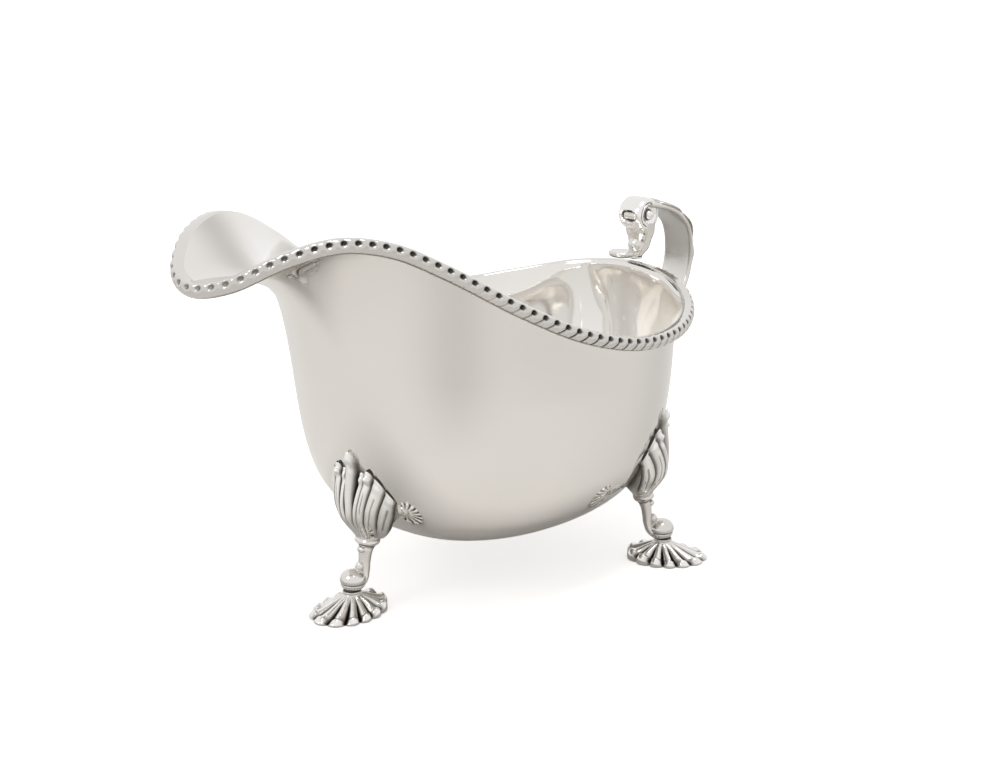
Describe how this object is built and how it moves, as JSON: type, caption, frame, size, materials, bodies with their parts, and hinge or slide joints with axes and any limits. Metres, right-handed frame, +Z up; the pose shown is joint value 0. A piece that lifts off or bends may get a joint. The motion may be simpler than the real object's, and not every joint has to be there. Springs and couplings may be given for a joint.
{
  "type": "sauce boat",
  "caption": "Raised silver sauce boat with a high spout, rope-like border, scroll handle and shell feet on short curled legs.",
  "frame": {"origin": "On the ground below the middle of the whole length, in the plane of symmetry.", "axes": "+Z up, the spout points along -X, the handle along +X."},
  "size_m": [0.1835, 0.0942, 0.105],
  "materials": {
    "raised_silver": "polished, softly worn",
    "cast_silver": "polished, dark in the crevices"
  },
  "bodies": {
    "root": {"bowl": "raised_silver", "gadroon_border": "cast_silver", "front_knee_shell": "cast_silver", "front_leg": "cast_silver", "front_foot": "cast_silver", "rear_left_knee_shell": "cast_silver", "rear_left_leg": "cast_silver", "rear_left_foot": "cast_silver", "rear_right_knee_shell": "cast_silver", "rear_right_leg": "cast_silver", "rear_right_foot": "cast_silver", "handle_scroll": "cast_silver", "handle_leaf": "cast_silver", "handle_column": "cast_silver"}
  },
  "joints": []
}
